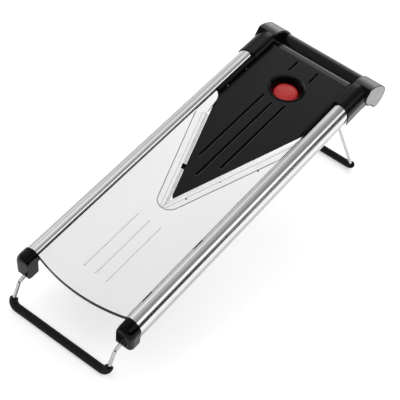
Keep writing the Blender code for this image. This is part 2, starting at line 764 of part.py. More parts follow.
def make_button(shop, finish):
    """A cup with a domed top and a stem that ends in a cone."""
    profile = [
        (0, -0.0044),
        (0.0060, -0.0046),
        (0.0100, -0.0051),
        (0.0114, -0.0056),
        (0.0121, -0.0062),
        (BUTTON_RADIUS, -0.0069),
        (BUTTON_RADIUS, -0.0078),
        (0.0108, -0.0078),
        (0.0108, -0.0064),
        (STEM_RADIUS, -0.0064),
        (STEM_RADIUS, -0.0091),
        (0.0015, -0.0110),
        (0, -0.0110),
    ]
    button = turned("lock_button", profile, closed=False)
    shop.place(button, finish["button_red"], (0, BUTTON_V, 0), parent=shop.feed)
    low = COLLAR_FLOOR_W + SPRING_WIRE_RADIUS + 0.0001
    high = -0.0064 - SPRING_WIRE_RADIUS - 0.0001
    count = SPRING_TURNS * 16
    coil = []
    for i in range(count + 1):
        angle = 2 * math.pi * SPRING_TURNS * i / count
        height = low + (high - low) * i / count
        coil.append((SPRING_RADIUS * math.cos(angle), SPRING_RADIUS * math.sin(angle), height))
    spring = tube("button_spring", coil, SPRING_WIRE_RADIUS, resolution=2)
    shop.place(spring, finish["spring_steel"], (0, BUTTON_V, 0), parent=shop.feed)


def make_lock(shop, finish):
    """The cross bar under the button, the tray that carries it and the tray's two screws."""
    bar_bottom = LOCK_BAR_TOP_W - LOCK_BAR_THICKNESS
    bar = box("lock_bar", (-0.0440, 0.0440), (-0.0070, 0.0060), (bar_bottom, LOCK_BAR_TOP_W))
    round_edges(bar, 0.0015, 3, upright_edge)
    shop.place(bar, finish["inner_plastic"], (0, BUTTON_V, 0), parent=shop.feed)
    window = box("lock_window", (-0.0040, 0.0040), (-0.0060, 0.0014), (-0.02, 0))
    shop.cut(bar, window, (0, BUTTON_V, 0))

    half, wall = HOUSING_HALF_WIDTH, HOUSING_WALL
    top = -FEED_THICKNESS - GAP
    bottom = HOUSING_BOTTOM_W
    floor = bottom + HOUSING_FLOOR
    outline = [(-half, bottom), (half, bottom), (half, top), (half - wall, top)]
    outline += [(half - wall, floor), (-half + wall, floor), (-half + wall, top), (-half, top)]
    tray = prism("lock_housing", outline, 2 * HOUSING_HALF_LENGTH)
    shop.place(tray, finish["inner_plastic"], (0, BUTTON_V, 0), SIDEWAYS, shop.feed)
    for number, side in enumerate((-1, 1), 1):
        hole = rod(f"housing_hole_{number}", 0.0014, 0.01, 16)
        shop.cut(tray, hole, (side * BOSS_X, BOSS_V, bottom))
        screw = turned(f"housing_screw_{number}", screw_profile(), closed=False, segments=20)
        shop.place(screw, finish["spring_steel"], (side * BOSS_X, BOSS_V, bottom - GAP), parent=shop.feed)


def screw_profile():
    """A pan-head screw whose shank points up from Z = 0 and whose head hangs below."""
    return [(0, 0.0050), (0.0011, 0.0050), (0.0011, 0), (0.0026, 0), (0.0024, -0.0012), (0, -0.0015)]


def make_guides(shop, finish):
    for side, start in ((-1, GUIDE_LEFT_START_Y), (1, GUIDE_RIGHT_START_Y)):
        name = side_name(side) + "_guide"
        inner, outer = sorted((side * GUIDE_INNER_X, side * PLATE_HALF_WIDTH))
        guide = box(name, (inner, outer), (start, GUIDE_END_Y), (GUIDE_BOTTOM_Z, GUIDE_TOP_Z))
        shop.place(guide, finish["gloss_black"])
        for number, point in enumerate(trunnion_points(), 1):
            centre = FEED_MATRIX @ point
            slot = slab(
                f"{name}_slot_{number}",
                stadium(SLIDE_TRAVEL, TRUNNION_RADIUS + 0.0004),
                -0.01,
                0.01,
            )
            slot.data.transform(Matrix.Translation((0, SLIDE_TRAVEL / 2, 0)))
            slot.data.transform(Matrix.Rotation(-math.pi / 2 - SLIDE_ANGLE, 4, "Z"))
            shop.cut(guide, slot, (side * GUIDE_INNER_X, centre.y, centre.z), SIDEWAYS)


def cap_slot_outline():
    """The slot for the foot's arm, in YZ: its roof follows the wire, and it is open below."""
    (pivot_y, pivot_z), bend = FRONT_PIVOT, FRONT_BEND
    roof_z = pivot_z + WIRE_RADIUS + 0.00065
    fall = (pivot_z - bend[1]) / (pivot_y - bend[0])
    front_y = -0.0200
    front_z = roof_z - (pivot_y - front_y) * fall
    return [(front_y, -0.03), (0.004, -0.03), (0.004, roof_z), (pivot_y, roof_z), (front_y, front_z)]


def make_front_caps(shop, finish):
    pivot_y, pivot_z = FRONT_PIVOT
    for side in (-1, 1):
        name = side_name(side) + "_front_cap"
        section = rail_section(RAIL_INNER_X, 0, CAP_BOTTOM_Z)
        straight = CAP_LENGTH - CAP_ROUNDING
        cap = slab(name, mirrored(section, side), 0, straight)
        dome_end(cap, (side * RAIL_INNER_X, CAP_PIVOT_Z), CAP_ROUNDING, 5)
        shop.place(cap, finish["gloss_black"], (0, -GAP, 0), UPRIGHT)
        plug_x = sorted((side * 0.0505, side * 0.0600))
        plug = box(name + "_plug", plug_x, (-0.002, PLUG_LENGTH), (-0.0140, -0.0020))
        shop.join(cap, plug)
        slot = slab(name + "_slot", cap_slot_outline(), -0.0022, 0.0022)
        shop.cut(cap, slot, (side * FOOT_ARM_X, 0, 0), SIDEWAYS)
        bore = rod(name + "_bore", BORE_RADIUS, 0.0080, 20)
        bore_x = side * (FOOT_ARM_X + 0.0020 + 0.0040)
        shop.cut(cap, bore, (bore_x, pivot_y, pivot_z), (0, math.pi / 2, 0))
        hole = rod(name + "_pin_hole", PIN_RADIUS + GAP, 0.0110, 16)
        shop.cut(cap, hole, (side * 0.0520, CAP_PIN_Y, PIN_Z), (0, math.pi / 2, 0))
        pin = rod(side_name(side) + "_cap_pin", PIN_RADIUS, 0.0080, 16)
        shop.place(pin, finish["spring_steel"], (side * 0.0525, CAP_PIN_Y, PIN_Z), (0, math.pi / 2, 0))


def foot_routes(pivot, corners):
    """The wire's route from one journal to the other, and the part of it inside the sleeve.

    Both are relative to the pivot; corners are the bends from the pivot to the bar, in YZ.
    """
    arm, journal = FOOT_ARM_X, FOOT_JOURNAL_X
    bends = [(y - pivot[0], z - pivot[1]) for y, z in corners]
    left = [(-journal, 0, 0), (-arm, 0, 0)] + [(-arm, *bend) for bend in bends]
    right = [(-x, y, z) for x, y, z in reversed(left)]
    radii = [0.003] + [0.004] * (len(bends) - 1) + [FOOT_CORNER_RADIUS]
    wire = rounded_path(left + right, radii + radii[::-1])
    corner = Vector((-arm, *bends[-1]))
    above = Vector(left[-2])
    reach = FOOT_CORNER_RADIUS + SLEEVE_UPRIGHT
    end = corner + (above - corner).normalized() * reach
    mirror = [(-end.x, end.y, end.z)]
    sleeve_points = [tuple(end), tuple(corner), (-corner.x, corner.y, corner.z)] + mirror
    sleeve = rounded_path(sleeve_points, [FOOT_CORNER_RADIUS] * 2, steps=8)
    return wire, sleeve


def make_foot(shop, finish, name, pivot, corners):
    wire_route, sleeve_route = foot_routes(pivot, corners)
    place = (0, *pivot)
    wire = tube(name + "_wire", wire_route, WIRE_RADIUS)
    shop.place(wire, finish["chrome_wire"], place)
    sleeve = tube(name + "_sleeve", sleeve_route, SLEEVE_RADIUS, resolution=6)
    shop.place(sleeve, finish["foot_rubber"], place)
    first, last = sleeve_route[0], sleeve_route[-1]
    start = first + (first - sleeve_route[1]).normalized() * 0.002
    end = last + (last - sleeve_route[-2]).normalized() * 0.002
    core = tube(name + "_core", [start] + sleeve_route[1:-1] + [end], WIRE_RADIUS + 1.2 * GAP)
    shop.cut(sleeve, core, place)


def make_pivot_blocks(shop, finish):
    pivot_y, pivot_z = REAR_PIVOT
    for side in (-1, 1):
        name = side_name(side) + "_pivot_block"
        block_x = sorted((side * (FOOT_ARM_X + 0.0024), side * 0.0612))
        block = box(name, block_x, (pivot_y - 0.009, pivot_y + 0.006), (-0.0158, -0.0060))
        round_edges(block, 0.002, 3, upright_edge)
        shop.place(block, finish["inner_plastic"])
        bore = rod(name + "_bore", BORE_RADIUS, 0.02, 20)
        shop.cut(block, bore, (side * 0.058, pivot_y, pivot_z), (0, math.pi / 2, 0))


def arm_end_centre():
    """The centre of the arms' round ends, in YZ."""
    radius = BEND_RADIUS - ARM_DEPTH / 2
    angle = math.radians(BEND_DEGREES)
    return (BEND_CENTRE[0] + radius * math.sin(angle), BEND_CENTRE[1] + radius * math.cos(angle))


def arm_end_outline(inset):
    """The bent end of an arm in YZ, shrunk by inset: it hooks down to a round end."""
    grow = END_PROUD - inset
    last = 90 - BEND_DEGREES
    outline = arc(BEND_CENTRE, BEND_RADIUS + grow, 90 - END_TOP_DEGREES, last, 14)
    outline += arc(arm_end_centre(), ARM_DEPTH / 2 + grow, last, last - 180, 20)[1:-1]
    inner = BEND_RADIUS - ARM_DEPTH - grow
    outline += arc(BEND_CENTRE, inner, last, 90 - END_BOTTOM_DEGREES, 6)
    outline += [(y + inset, z) for y, z in END_FRONT]
    return outline


def web_outline():
    """The web in YZ: it runs back under the feed plate, then curves down into the bar."""
    centre = (WEB_BEND_Y, WEB_TOP_Z - WEB_BEND_RADIUS)
    last = 90 - WEB_BEND_DEGREES
    top = arc(centre, WEB_BEND_RADIUS, 90, last, 8)
    bottom = arc(centre, WEB_BEND_RADIUS - WEB_THICKNESS, last, 90, 8)
    return [(WEB_FRONT_Y, WEB_TOP_Z)] + top + bottom + [(WEB_FRONT_Y, WEB_TOP_Z - WEB_THICKNESS)]


def across(side, inner, outer):
    """The two X values of a piece that lies between inner and outer on one side, in order."""
    return sorted((side * inner, side * outer))


def join_arm(shop, handle, side):
    """One side of the handle: the sleeve over the rail, its ledge and the bent end."""
    label = "handle_" + side_name(side)
    straight = BEND_CENTRE[0] - SLEEVE_START_Y
    bottom_z = RAIL_BOTTOM_Z - SLEEVE_WALL
    section = rail_section(SLEEVE_INNER_X, SLEEVE_WALL, bottom_z, SLEEVE_CORNER)
    sleeve = slab(label + "_sleeve", mirrored(section, side), -straight, 0)
    centre = Vector((0, BEND_CENTRE[1], -straight))
    bend_end(sleeve, centre, SHOULDER_BEND_DEGREES, 7)
    shop.join(handle, sleeve, (0, SLEEVE_START_Y, 0), UPRIGHT)
    ledge_z = (RAIL_BOTTOM_Z - SLEEVE_WALL + 0.0004, GUIDE_TOP_Z)
    ledge_x = across(side, GUIDE_INNER_X, RAIL_INNER_X)
    shop.join(handle, box(label + "_ledge", ledge_x, (SLEEVE_START_Y, LEDGE_END_Y), ledge_z))
    end_x = across(side, ARM_INNER_X, HANDLE_HALF_WIDTH)
    end = slab(label + "_end", arm_end_outline(0), *end_x)
    rim = HANDLE_HALF_WIDTH - 0.0001
    round_edges(end, END_ROUNDING, 3, lambda a, b: min(abs(a.z), abs(b.z)) > rim)
    shop.join(handle, end, (0, 0, 0), SIDEWAYS)


def cut_arm(shop, handle, side):
    """The room for the rail, the pin and the end cover on one side of the handle."""
    label = "handle_" + side_name(side)
    length = RAIL_LENGTH + GAP - SLEEVE_START_Y + 0.002
    section = rail_section(RAIL_INNER_X - GAP, GAP, RAIL_BOTTOM_Z - 0.02)
    pocket = prism(label + "_pocket", mirrored(section, side), length)
    shop.cut(handle, pocket, (0, RAIL_LENGTH + GAP - length / 2, 0), UPRIGHT)
    hole = rod(label + "_pin_hole", PIN_RADIUS + GAP, 0.012, 16)
    shop.cut(handle, hole, (side * 0.047, HANDLE_PIN_Y, PIN_Z), (0, math.pi / 2, 0))
    recess_x = across(side, HANDLE_HALF_WIDTH - COVER_THICKNESS - GAP, HANDLE_HALF_WIDTH + 0.001)
    recess = slab(label + "_recess", arm_end_outline(COVER_INSET - GAP), *recess_x)
    shop.cut(handle, recess, (0, 0, 0), SIDEWAYS)


def make_handle(shop, finish):
    """One moulding: an arm over each rail end, a web and a round bar across the back."""
    handle = rod("handle", BAR_RADIUS, 0.0990, 48)
    handle.data.transform(Matrix.Rotation(math.pi / 2, 4, "Y"))
    shop.place(handle, finish["handle_black"], (0, *arm_end_centre()))
    web = slab("handle_web", web_outline(), -0.0484, 0.0484)
    shop.join(handle, web, (0, 0, 0), SIDEWAYS)
    for side in (-1, 1):
        join_arm(shop, handle, side)
    for side in (-1, 1):
        cut_arm(shop, handle, side)
        pin = rod(f"{side_name(side)}_handle_pin", PIN_RADIUS, 0.0050, 16)
        shop.place(pin, finish["spring_steel"], (side * 0.0474, HANDLE_PIN_Y, PIN_Z), (0, math.pi / 2, 0))
        outer = HANDLE_HALF_WIDTH - 0.0001
        cover_x = across(side, outer - COVER_THICKNESS + 0.0001, outer)
        cover = slab(side_name(side) + "_end_cover", arm_end_outline(COVER_INSET), *cover_x)
        shop.place(cover, finish["cover_grey"], (0, 0, 0), SIDEWAYS)


def stand_on_floor(shop):
    """Moves the deck so that the object's box stands centred on the origin."""
    bpy.context.view_layer.update()
    graph = bpy.context.evaluated_depsgraph_get()
    corners = []
    for obj in shop.parts.objects:
        if obj.type == "MESH":
            evaluated = obj.evaluated_get(graph)
            corners += [evaluated.matrix_world @ vert.co for vert in evaluated.data.vertices]
    low = Vector([min(corner[i] for corner in corners) for i in range(3)])
    high = Vector([max(corner[i] for corner in corners) for i in range(3)])
    shop.deck.location = (0, -(low.y + high.y) / 2, -low.z)


def main():
    clear_scene()
    shop = Workshop()
    finish = finishes()
    make_rails(shop, finish)
    make_landing_plate(shop, finish)
    make_blade_holder(shop, finish)
    make_blades(shop, finish)
    make_ties(shop, finish)
    make_feed_plate(shop, finish)
    make_collar(shop, finish)
    make_button(shop, finish)
    make_lock(shop, finish)
    make_guides(shop, finish)
    make_front_caps(shop, finish)
    make_foot(shop, finish, "front_foot", FRONT_PIVOT, [FRONT_BEND, FRONT_BAR])
    make_foot(shop, finish, "rear_foot", REAR_PIVOT, [REAR_BAR])
    make_pivot_blocks(shop, finish)
    make_handle(shop, finish)
    stand_on_floor(shop)


main()
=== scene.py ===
"""Looks for the V-blade mandoline slicer: materials, fine pieces, light and camera."""

import math

import bmesh
import bpy
from mathutils import Matrix, Vector


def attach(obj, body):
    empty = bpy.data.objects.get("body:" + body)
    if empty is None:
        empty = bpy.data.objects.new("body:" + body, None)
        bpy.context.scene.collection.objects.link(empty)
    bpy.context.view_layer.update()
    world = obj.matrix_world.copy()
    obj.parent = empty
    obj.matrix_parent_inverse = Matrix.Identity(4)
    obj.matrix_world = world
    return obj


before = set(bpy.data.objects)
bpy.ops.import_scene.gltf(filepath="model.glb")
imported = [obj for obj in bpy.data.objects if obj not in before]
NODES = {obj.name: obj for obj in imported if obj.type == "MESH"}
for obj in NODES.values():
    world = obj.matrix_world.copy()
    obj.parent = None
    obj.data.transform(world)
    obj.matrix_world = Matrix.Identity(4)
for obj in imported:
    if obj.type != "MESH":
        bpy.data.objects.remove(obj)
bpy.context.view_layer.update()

# The deck's own frame: X right, Y from the rails' front ends to the handle, Z square to the deck
TILT = math.radians(14.62656)
DECK_ORIGIN = (0, -0.19423, 0.055008)
DECK = Matrix.Translation(DECK_ORIGIN) @ Matrix.Rotation(TILT, 4, "X")

# The feed plate's frame: its origin is near the tip, and it drops a little to the rear in the deck
FEED_ORIGIN = (0, 0.1194, -0.0005)
FEED_SLOPE = math.radians(-0.9)
FEED = DECK @ Matrix.Translation(FEED_ORIGIN) @ Matrix.Rotation(FEED_SLOPE, 4, "X")

# Rails: the painted shade in the gap by the landing plate ends here, and the flat skirt starts here
RAIL_GAP_SHADE_END = (0.0486, 0.0490)
SKIRT_TO_SHOULDER = (-0.0095, -0.0065)
SKIRT_SHADE = 0.48

# Feed plate: painted shade in the grooves, from the floor of a groove to the plate's top
GROOVE_FLOOR_TO_TOP = (-0.0011, -0.00025)

# Blind holes of the blade holder: x, y and the floor's height, in the deck's frame; dark cups of
# painted shade line them
HOLE_RADIUS = 0.00083
HOLES = ((0.0103, 0.1287, -0.00166), (0.0217, 0.1638, -0.00166), (0.0403, 0.1965, -0.00086))
HOLE_TOP = -0.00012
SHADE_CUP_WALL = 0.00006

# Notch of the blade holder, on its left side: along that side from the point, and outwards
NOTCH_SLOPE = math.radians(18.9)
NOTCH_ALONG = (0.0383, 0.0443)
NOTCH_OUT = (-0.0002, 0.0029)
NOTCH_FLOOR = -0.00174
NOTCH_TOP = -0.0003

# The V point of the blade holder, and the gap that runs round it, with a dark bead of painted shade
# in that gap
HOLDER_POINT_Y = 0.1184
SEAM_SLOPE = math.radians(19.5)
SEAM_POINT_RADIUS = 0.01105
SEAM_END_X = 0.0465
SEAM_HEIGHT = -0.0001
SEAM_SHADE_RADIUS = 0.0003

# The gap between the landing plate and a rail, with a dark bead of painted shade in it
EDGE_SHADE_X = 0.0481
EDGE_SHADE_Y = (0.0012, 0.249)
EDGE_SHADE_HEIGHT = -0.0002
EDGE_SHADE_RADIUS = 0.00024

# Grooves of the feed plate: x, front end, rear end and half width, in its own frame
GROOVE_PITCH = 0.0121
GROOVE_HALF = 0.0012
LONG_GROOVE = (0.0576, 0.1610, GROOVE_HALF)
LONG_MIDDLE_GROOVE = (0.0370, 0.1560, GROOVE_HALF)
SHORT_GROOVE = (0.2010, 0.2185, GROOVE_HALF)
SHORT_MIDDLE_GROOVE = (0.2076, 0.2190, GROOVE_HALF / 3)
GROOVES = (
    (-GROOVE_PITCH, *LONG_GROOVE),
    (0, *LONG_MIDDLE_GROOVE),
    (GROOVE_PITCH, *LONG_GROOVE),
    (-GROOVE_PITCH, *SHORT_GROOVE),
    (0, *SHORT_MIDDLE_GROOVE),
    (GROOVE_PITCH, *SHORT_GROOVE),
)
LIP_OFFSET = 0.0002
LIP_RADIUS = 0.00026

# Camera: place and directions in the deck's frame
CAMERA_PLACE = (0.38242, -0.44361, 0.87074)
CAMERA_FORWARD = (-0.32708, 0.52356, -0.78670)
CAMERA_UP = (-0.51374, 0.60021, 0.61304)
CAMERA_LENS = 112.77
SENSOR_WIDTH = 36

FLOOR_HALF = 6.0
FLOOR_GLOW = 0.5


# ---------------------------------------------------------------- materials


class Finish:
    """One procedural material, built node by node round a Principled shader."""

    def __init__(self, name, color, roughness, metallic=0.0):
        self.material = bpy.data.materials.new(name)
        self.material.use_nodes = True
        self.tree = self.material.node_tree
        self.shader = self.tree.nodes["Principled BSDF"]
        self.set("Metallic", metallic)
        self.set("Base Color", (*color, 1))
        self.set("Roughness", roughness)
        self.material.diffuse_color = (*color, 1)
        self.normal = None

    def set(self, socket, value):
        self.shader.inputs[socket].default_value = value

    def add(self, kind, **settings):
        node = self.tree.nodes.new(kind)
        for key, value in settings.items():
            setattr(node, key, value)
        return node

    def link(self, output, target):
        self.tree.links.new(output, target)

    def source(self, kind):
        return self.add("ShaderNodeTexCoord").outputs[kind]

    def noise(self, scale, detail=3.0):
        """Noise in the deck's frame; scale is how fine it is along each of the three axes."""
        level = self.add("ShaderNodeMapping")
        level.inputs["Rotation"].default_value = (-TILT, 0, 0)
        self.link(self.source("Object"), level.inputs["Vector"])
        stretch = self.add("ShaderNodeMapping")
        stretch.inputs["Scale"].default_value = scale
        self.link(level.outputs[0], stretch.inputs["Vector"])
        texture = self.add("ShaderNodeTexNoise")
        texture.inputs["Scale"].default_value = 1.0
        texture.inputs["Detail"].default_value = detail
        texture.inputs["Roughness"].default_value = 0.55
        self.link(stretch.outputs[0], texture.inputs["Vector"])
        return texture.outputs[0]

    def remap(self, value, low, high, start=0.3, end=0.7):
        """The value, taken from start..end to low..high; noise lies mostly in 0.3..0.7."""
        node = self.add("ShaderNodeMapRange")
        node.inputs["From Min"].default_value = start
        node.inputs["From Max"].default_value = end
        node.inputs["To Min"].default_value = low
        node.inputs["To Max"].default_value = high
        self.link(value, node.inputs["Value"])
        return node.outputs[0]

    def product(self, first, second):
        node = self.add("ShaderNodeMath", operation="MULTIPLY")
        self.link(first, node.inputs[0])
        self.link(second, node.inputs[1])
        return node.outputs[0]

    def along_z(self, vector, matrix):
        """The vector's size along the Z axis of the given frame."""
        node = self.add("ShaderNodeVectorMath", operation="DOT_PRODUCT")
        node.inputs[1].default_value = matrix.to_3x3() @ Vector((0, 0, 1))
        self.link(vector, node.inputs[0])
        return node.outputs["Value"]

    def facing(self, matrix, low, high):
        """0 where the surface leans low or less towards the given frame's Z, 1 at high or more."""
        return self.remap(self.along_z(self.source("Normal"), matrix), 0, 1, low, high)

    def across(self, low, high):
        """0 up to low from the middle plane of the deck, 1 from high outwards."""
        split = self.add("ShaderNodeSeparateXYZ")
        self.link(self.source("Object"), split.inputs[0])
        size = self.add("ShaderNodeMath", operation="ABSOLUTE")
        self.link(split.outputs["X"], size.inputs[0])
        return self.remap(size.outputs[0], 0, 1, low, high)

    def height(self, matrix, low, high):
        """0 at height low and 1 at height high over the XY plane of the given frame."""
        away = self.add("ShaderNodeVectorMath", operation="SUBTRACT")
        away.inputs[1].default_value = matrix.translation
        self.link(self.source("Object"), away.inputs[0])
        return self.remap(self.along_z(away.outputs[0], matrix), 0, 1, low, high)

    def color(self, factor, first, second):
        """Base colour: first where the factor is 0, second where it is 1."""
        node = self.add("ShaderNodeMix", data_type="RGBA")
        self.link(factor, node.inputs["Factor"])
        node.inputs["A"].default_value = (*first, 1)
        node.inputs["B"].default_value = (*second, 1)
        self.link(node.outputs["Result"], self.shader.inputs["Base Color"])

    def roughness(self, value):
        self.link(value, self.shader.inputs["Roughness"])

    def bump(self, value, distance, strength):
        node = self.add("ShaderNodeBump")
        node.inputs["Distance"].default_value = distance
        node.inputs["Strength"].default_value = strength
        self.link(value, node.inputs["Height"])
        self.link(node.outputs["Normal"], self.shader.inputs["Normal"])


def brush(finish, roughness, along, lines=1400, depth=0.000006):
    """Fine lines in a steel's gloss and height, along X or Y of the deck; returns their noise."""
    scale = [lines, lines, lines]
    scale["XYZ".index(along)] = lines / 400
    grain = finish.noise(scale, detail=4)
    smudge = finish.noise((38, 22, 38))
    worn = finish.remap(smudge, roughness * 0.8, roughness * 1.25)
    finish.roughness(finish.product(worn, finish.remap(grain, 0.85, 1.2)))
    finish.bump(grain, depth, 0.5)
    return grain


def brushed_steel(name, color, roughness, along, **lines):
    finish = Finish(name, color, roughness, 1.0)
    grain = brush(finish, roughness, along, **lines)
    finish.color(finish.remap(grain, 0, 1), tuple(c * 0.88 for c in color), color)
    return finish


def rail_steel():
    """Rolled steel with lines along the rail, with painted shade in the gap by the landing plate, and
    darker on its flat skirt.
    """
    finish = Finish("rail_brushed", (0.80, 0.80, 0.81), 0.15, 1.0)
    brush(finish, 0.15, "Y", depth=0.000003)
    grain = finish.noise((1400, 4, 1400), detail=4)
    # Painted shade: near black where the rail meets the gap by the landing plate
    outside_gap_shade = finish.product(finish.across(*RAIL_GAP_SHADE_END), finish.remap(grain, 0.86, 1))
    skirt = finish.remap(finish.height(DECK, *SKIRT_TO_SHOULDER), SKIRT_SHADE, 1, 0, 1)
    finish.color(finish.product(outside_gap_shade, skirt), (0.02, 0.02, 0.02), (0.81, 0.81, 0.82))
    return finish


def satin_plate():
    """The landing plate's sheet steel, with painted shade on its side faces."""
    color = (0.92, 0.92, 0.925)
    finish = Finish("plate_satin", color, 0.34, 1.0)
    grain = finish.noise((90, 2600, 2600), detail=4)
    cloud = finish.noise((14, 9, 14), detail=2)
    finish.roughness(finish.product(finish.remap(cloud, 0.30, 0.38), finish.remap(grain, 0.9, 1.15)))
    # Painted shade: the side faces, which face the gaps by the rails, are near black
    top = finish.product(finish.facing(DECK, 0.05, 0.25), finish.remap(grain, 0.94, 1))
    finish.color(top, (0.04, 0.04, 0.04), color)
    finish.bump(grain, 0.00001, 0.4)
    return finish


def moulded_plastic(name, color, roughness, grain_size=2200, depth=0.00003, specular=0.5):
    """Moulded plastic: a fine grain, faint clouding and a little dust-like roughness."""
    finish = Finish(name, color, roughness)
    grain = finish.noise((grain_size, grain_size, grain_size), detail=2)
    cloud = finish.noise((45, 45, 45), detail=4)
    finish.color(finish.remap(cloud, 0, 1), color, tuple(c * 1.25 + 0.001 for c in color))
    worn = finish.remap(cloud, roughness * 0.85, roughness * 1.2)
    finish.roughness(finish.product(worn, finish.remap(grain, 0.92, 1.1)))
    finish.bump(grain, depth, 0.35)
    finish.set("Specular IOR Level", specular)
    return finish


def ribbed_plate():
    """The feed plate's charcoal plastic, with painted shade inside its grooves, which are also
    duller.
    """
    finish = Finish("feed_charcoal", (0.010, 0.010, 0.011), 0.34)
    grain = finish.noise((2400, 2400, 2400), detail=2)
    cloud = finish.noise((30, 18, 30), detail=4)
    # Painted shade: near black at the floors of the grooves, fading up to the plate's top
    top = finish.height(FEED, *GROOVE_FLOOR_TO_TOP)
    shade = finish.product(top, finish.remap(cloud, 0.8, 1.0))
    finish.color(shade, (0.0004, 0.0004, 0.0004), (0.0045, 0.0045, 0.0054))
    finish.roughness(finish.remap(top, 1.0, 0.34, 0, 1))
    finish.set("Specular IOR Level", 0.14)
    finish.bump(grain, 0.00003, 0.35)
    return finish


def rubber():
    """The feet's rubber, with paler scuffs."""
    finish = Finish("rubber_foot", (0.008, 0.008, 0.008), 0.72)
    grain = finish.noise((1700, 1700, 1700))
    scuff = finish.noise((120, 300, 120), detail=5)
    scuffed = finish.remap(scuff, 0, 1, 0.45, 0.8)
    finish.color(scuffed, (0.006, 0.006, 0.006), (0.018, 0.018, 0.018))
    finish.roughness(finish.remap(scuff, 0.6, 0.85))
    finish.set("Specular IOR Level", 0.2)
    finish.bump(grain, 0.00008, 0.5)
    return finish


def drawn_wire():
    """The feet's plated wire, faintly uneven from drawing."""
    finish = Finish("wire_chrome", (0.52, 0.52, 0.53), 0.14, 1.0)
    grain = finish.noise((900, 900, 900))
    cloud = finish.noise((60, 60, 60))
    finish.roughness(finish.product(finish.remap(cloud, 0.10, 0.2), finish.remap(grain, 0.8, 1.2)))
    finish.color(finish.remap(grain, 0, 1), (0.42, 0.42, 0.43), (0.54, 0.54, 0.55))
    finish.bump(grain, 0.00001, 0.3)
    return finish


def shade_finish():
    """Painted shade for small holes and gaps: near black, with a trace of texture."""
    finish = Finish("recess_shade", (0.004, 0.004, 0.004), 0.8)
    speck = finish.noise((3000, 3000, 3000))
    finish.color(finish.remap(speck, 0, 1), (0.002, 0.002, 0.002), (0.008, 0.008, 0.008))
    finish.roughness(finish.remap(speck, 0.7, 0.9))
    finish.bump(speck, 0.00002, 0.4)
    finish.set("Specular IOR Level", 0.1)
    return finish


def paint(finish, *names):
    """Gives the named CAD nodes this finish in every material slot."""
    for name in names:
        mesh = NODES[name].data
        if not mesh.materials:
            mesh.materials.append(finish.material)
        for index in range(len(mesh.materials)):
            mesh.materials[index] = finish.material


def paint_steel():
    paint(rail_steel(), "left_rail", "right_rail")
    paint(brushed_steel("tie_steel", (0.5, 0.5, 0.51), 0.4, "X"), "front_tie", "middle_tie")
    paint(satin_plate(), "landing_plate")
    paint(brushed_steel("holder_satin", (0.93, 0.93, 0.935), 0.3, "X", lines=2200), "blade_holder")
    blade = brushed_steel("blade_ground", (0.93, 0.93, 0.94), 0.28, "Y", lines=2400)
    paint(blade, "left_blade", "right_blade")
    pins = [f"{kind}_rivet_{i}" for kind in ("blade", "tie") for i in range(1, 5)]
    pins += ["housing_screw_1", "housing_screw_2", "button_spring"]
    pins += ["left_cap_pin", "right_cap_pin", "left_handle_pin", "right_handle_pin"]
    paint(brushed_steel("pin_steel", (0.55, 0.55, 0.56), 0.32, "X"), *pins)
    paint(drawn_wire(), "front_foot_wire", "rear_foot_wire")


def paint_plastic():
    paint(rubber(), "front_foot_sleeve", "rear_foot_sleeve")
    paint(ribbed_plate(), "feed_plate")
    gloss = moulded_plastic("gloss_black", (0.001, 0.001, 0.0012), 0.13, 1500, 0.00001, 0.1)
    paint(gloss, "button_collar", "left_front_cap", "right_front_cap")
    guide = moulded_plastic("guide_black", (0.001, 0.001, 0.001), 0.3, 1800, 0.00002, 0.08)
    paint(guide, "left_guide", "right_guide")
    handle = moulded_plastic("handle_gloss", (0.003, 0.003, 0.0033), 0.22, 1700, 0.00001, 0.15)
    paint(handle, "handle")
    cover = moulded_plastic("cover_satin", (0.26, 0.26, 0.26), 0.3)
    paint(cover, "left_end_cover", "right_end_cover")
    button = moulded_plastic("button_satin", (0.60, 0.03, 0.027), 0.3, 1900, 0.00002, 0.3)
    paint(button, "lock_button")
    inner = moulded_plastic("inner_black", (0.02, 0.02, 0.02), 0.5)
    paint(inner, "lock_bar", "lock_housing", "left_pivot_block", "right_pivot_block")


# ---------------------------------------------------------------- fine shape


def soften(width, *names, angle=40):
    """Breaks the sharp edges of the named nodes by a small rounding, which catches the light."""
    for name in names:
        node = NODES[name]
        weld = node.modifiers.new("weld", "WELD")
        weld.merge_threshold = 0.000002
        bevel = node.modifiers.new("edge", "BEVEL")
        bevel.width = width
        bevel.segments = 2
        bevel.limit_method = "ANGLE"
        bevel.angle_limit = math.radians(angle)
        normals = node.modifiers.new("normals", "WEIGHTED_NORMAL")
        normals.weight = 60
        normals.keep_sharp = False


def soften_all():
    soften(0.0005, "feed_plate")
    soften(0.00025, "left_guide", "right_guide")
    soften(0.00012, "blade_holder", "landing_plate")
    soften(0.0004, "left_front_cap", "right_front_cap", "handle", angle=50)
    soften(0.0002, "left_end_cover", "right_end_cover", "lock_housing", "front_tie", "middle_tie")


def deck_cup(name, outline, low, high, finish):
    """A thin open cup that lines a blind hole: the outline in the deck's XY, from low to high."""
    mesh = bpy.data.meshes.new(name)
    bm = bmesh.new()
    ring = [bm.verts.new((x, y, low)) for x, y in outline]
    floor = bm.faces.new(ring)
    walls = bmesh.ops.extrude_edge_only(bm, edges=list(floor.edges))["geom"]
    for item in walls:
        if isinstance(item, bmesh.types.BMVert):
            item.co.z = high
    bmesh.ops.recalc_face_normals(bm, faces=bm.faces)
    bm.to_mesh(mesh)
    bm.free()
    cup = bpy.data.objects.new(name, mesh)
    bpy.context.scene.collection.objects.link(cup)
    cup.matrix_world = DECK
    solid = cup.modifiers.new("sheet", "SOLIDIFY")
    solid.thickness = SHADE_CUP_WALL
    solid.offset = 1
    mesh.materials.append(finish.material)
    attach(cup, "frame")


def arc(centre, radius, turns):
    """Points on a circle about the centre, at the given angles."""
    x, y = centre
    return [(x + radius * math.cos(t), y + radius * math.sin(t)) for t in turns]


